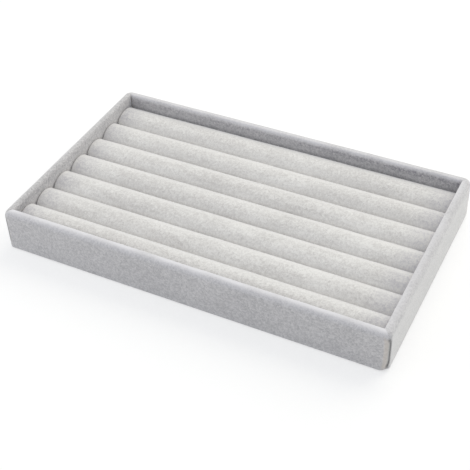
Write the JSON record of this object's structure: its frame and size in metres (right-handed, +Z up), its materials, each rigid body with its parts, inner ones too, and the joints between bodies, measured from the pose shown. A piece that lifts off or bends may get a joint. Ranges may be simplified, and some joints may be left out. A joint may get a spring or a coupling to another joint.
{
  "type": "jewelry organizer, ring tray",
  "caption": "Shallow rectangular tray wrapped in velvet, with a lift-out insert of parallel padded rolls that hold rings upright in the grooves between them.",
  "frame": {"origin": "centre of the underside, on the surface that the tray stands on", "axes": "+X along the rolls and the long walls, -Y towards the front wall, +Z up"},
  "size_m": [0.3, 0.18, 0.034],
  "materials": {
    "tray_velvet": "matte",
    "roll_velvet": "matte",
    "floor_lining": "matte",
    "underside_felt": "matte",
    "wall_board": "matte",
    "base_board": "matte",
    "insert_board": "matte",
    "roll_foam": "matte"
  },
  "bodies": {
    "tray": {"underside_felt": "underside_felt", "base_board": "base_board", "floor_lining": "floor_lining", "front_wall_board": "wall_board", "front_wall_velvet": "tray_velvet", "back_wall_board": "wall_board", "back_wall_velvet": "tray_velvet", "left_wall_board": "wall_board", "left_wall_velvet": "tray_velvet", "right_wall_board": "wall_board", "right_wall_velvet": "tray_velvet"},
    "insert": {"insert_board": "insert_board", "roll_1_foam": "roll_foam", "roll_1_velvet": "roll_velvet", "roll_2_foam": "roll_foam", "roll_2_velvet": "roll_velvet", "roll_3_foam": "roll_foam", "roll_3_velvet": "roll_velvet", "roll_4_foam": "roll_foam", "roll_4_velvet": "roll_velvet", "roll_5_foam": "roll_foam", "roll_5_velvet": "roll_velvet", "roll_6_foam": "roll_foam", "roll_6_velvet": "roll_velvet", "roll_7_foam": "roll_foam", "roll_7_velvet": "roll_velvet"}
  },
  "joints": [
    {"name": "insert_lift", "type": "slide", "parent": "tray", "child": "insert", "axis": [0, 0, 1], "range_m": [0, 0.05]}
  ]
}
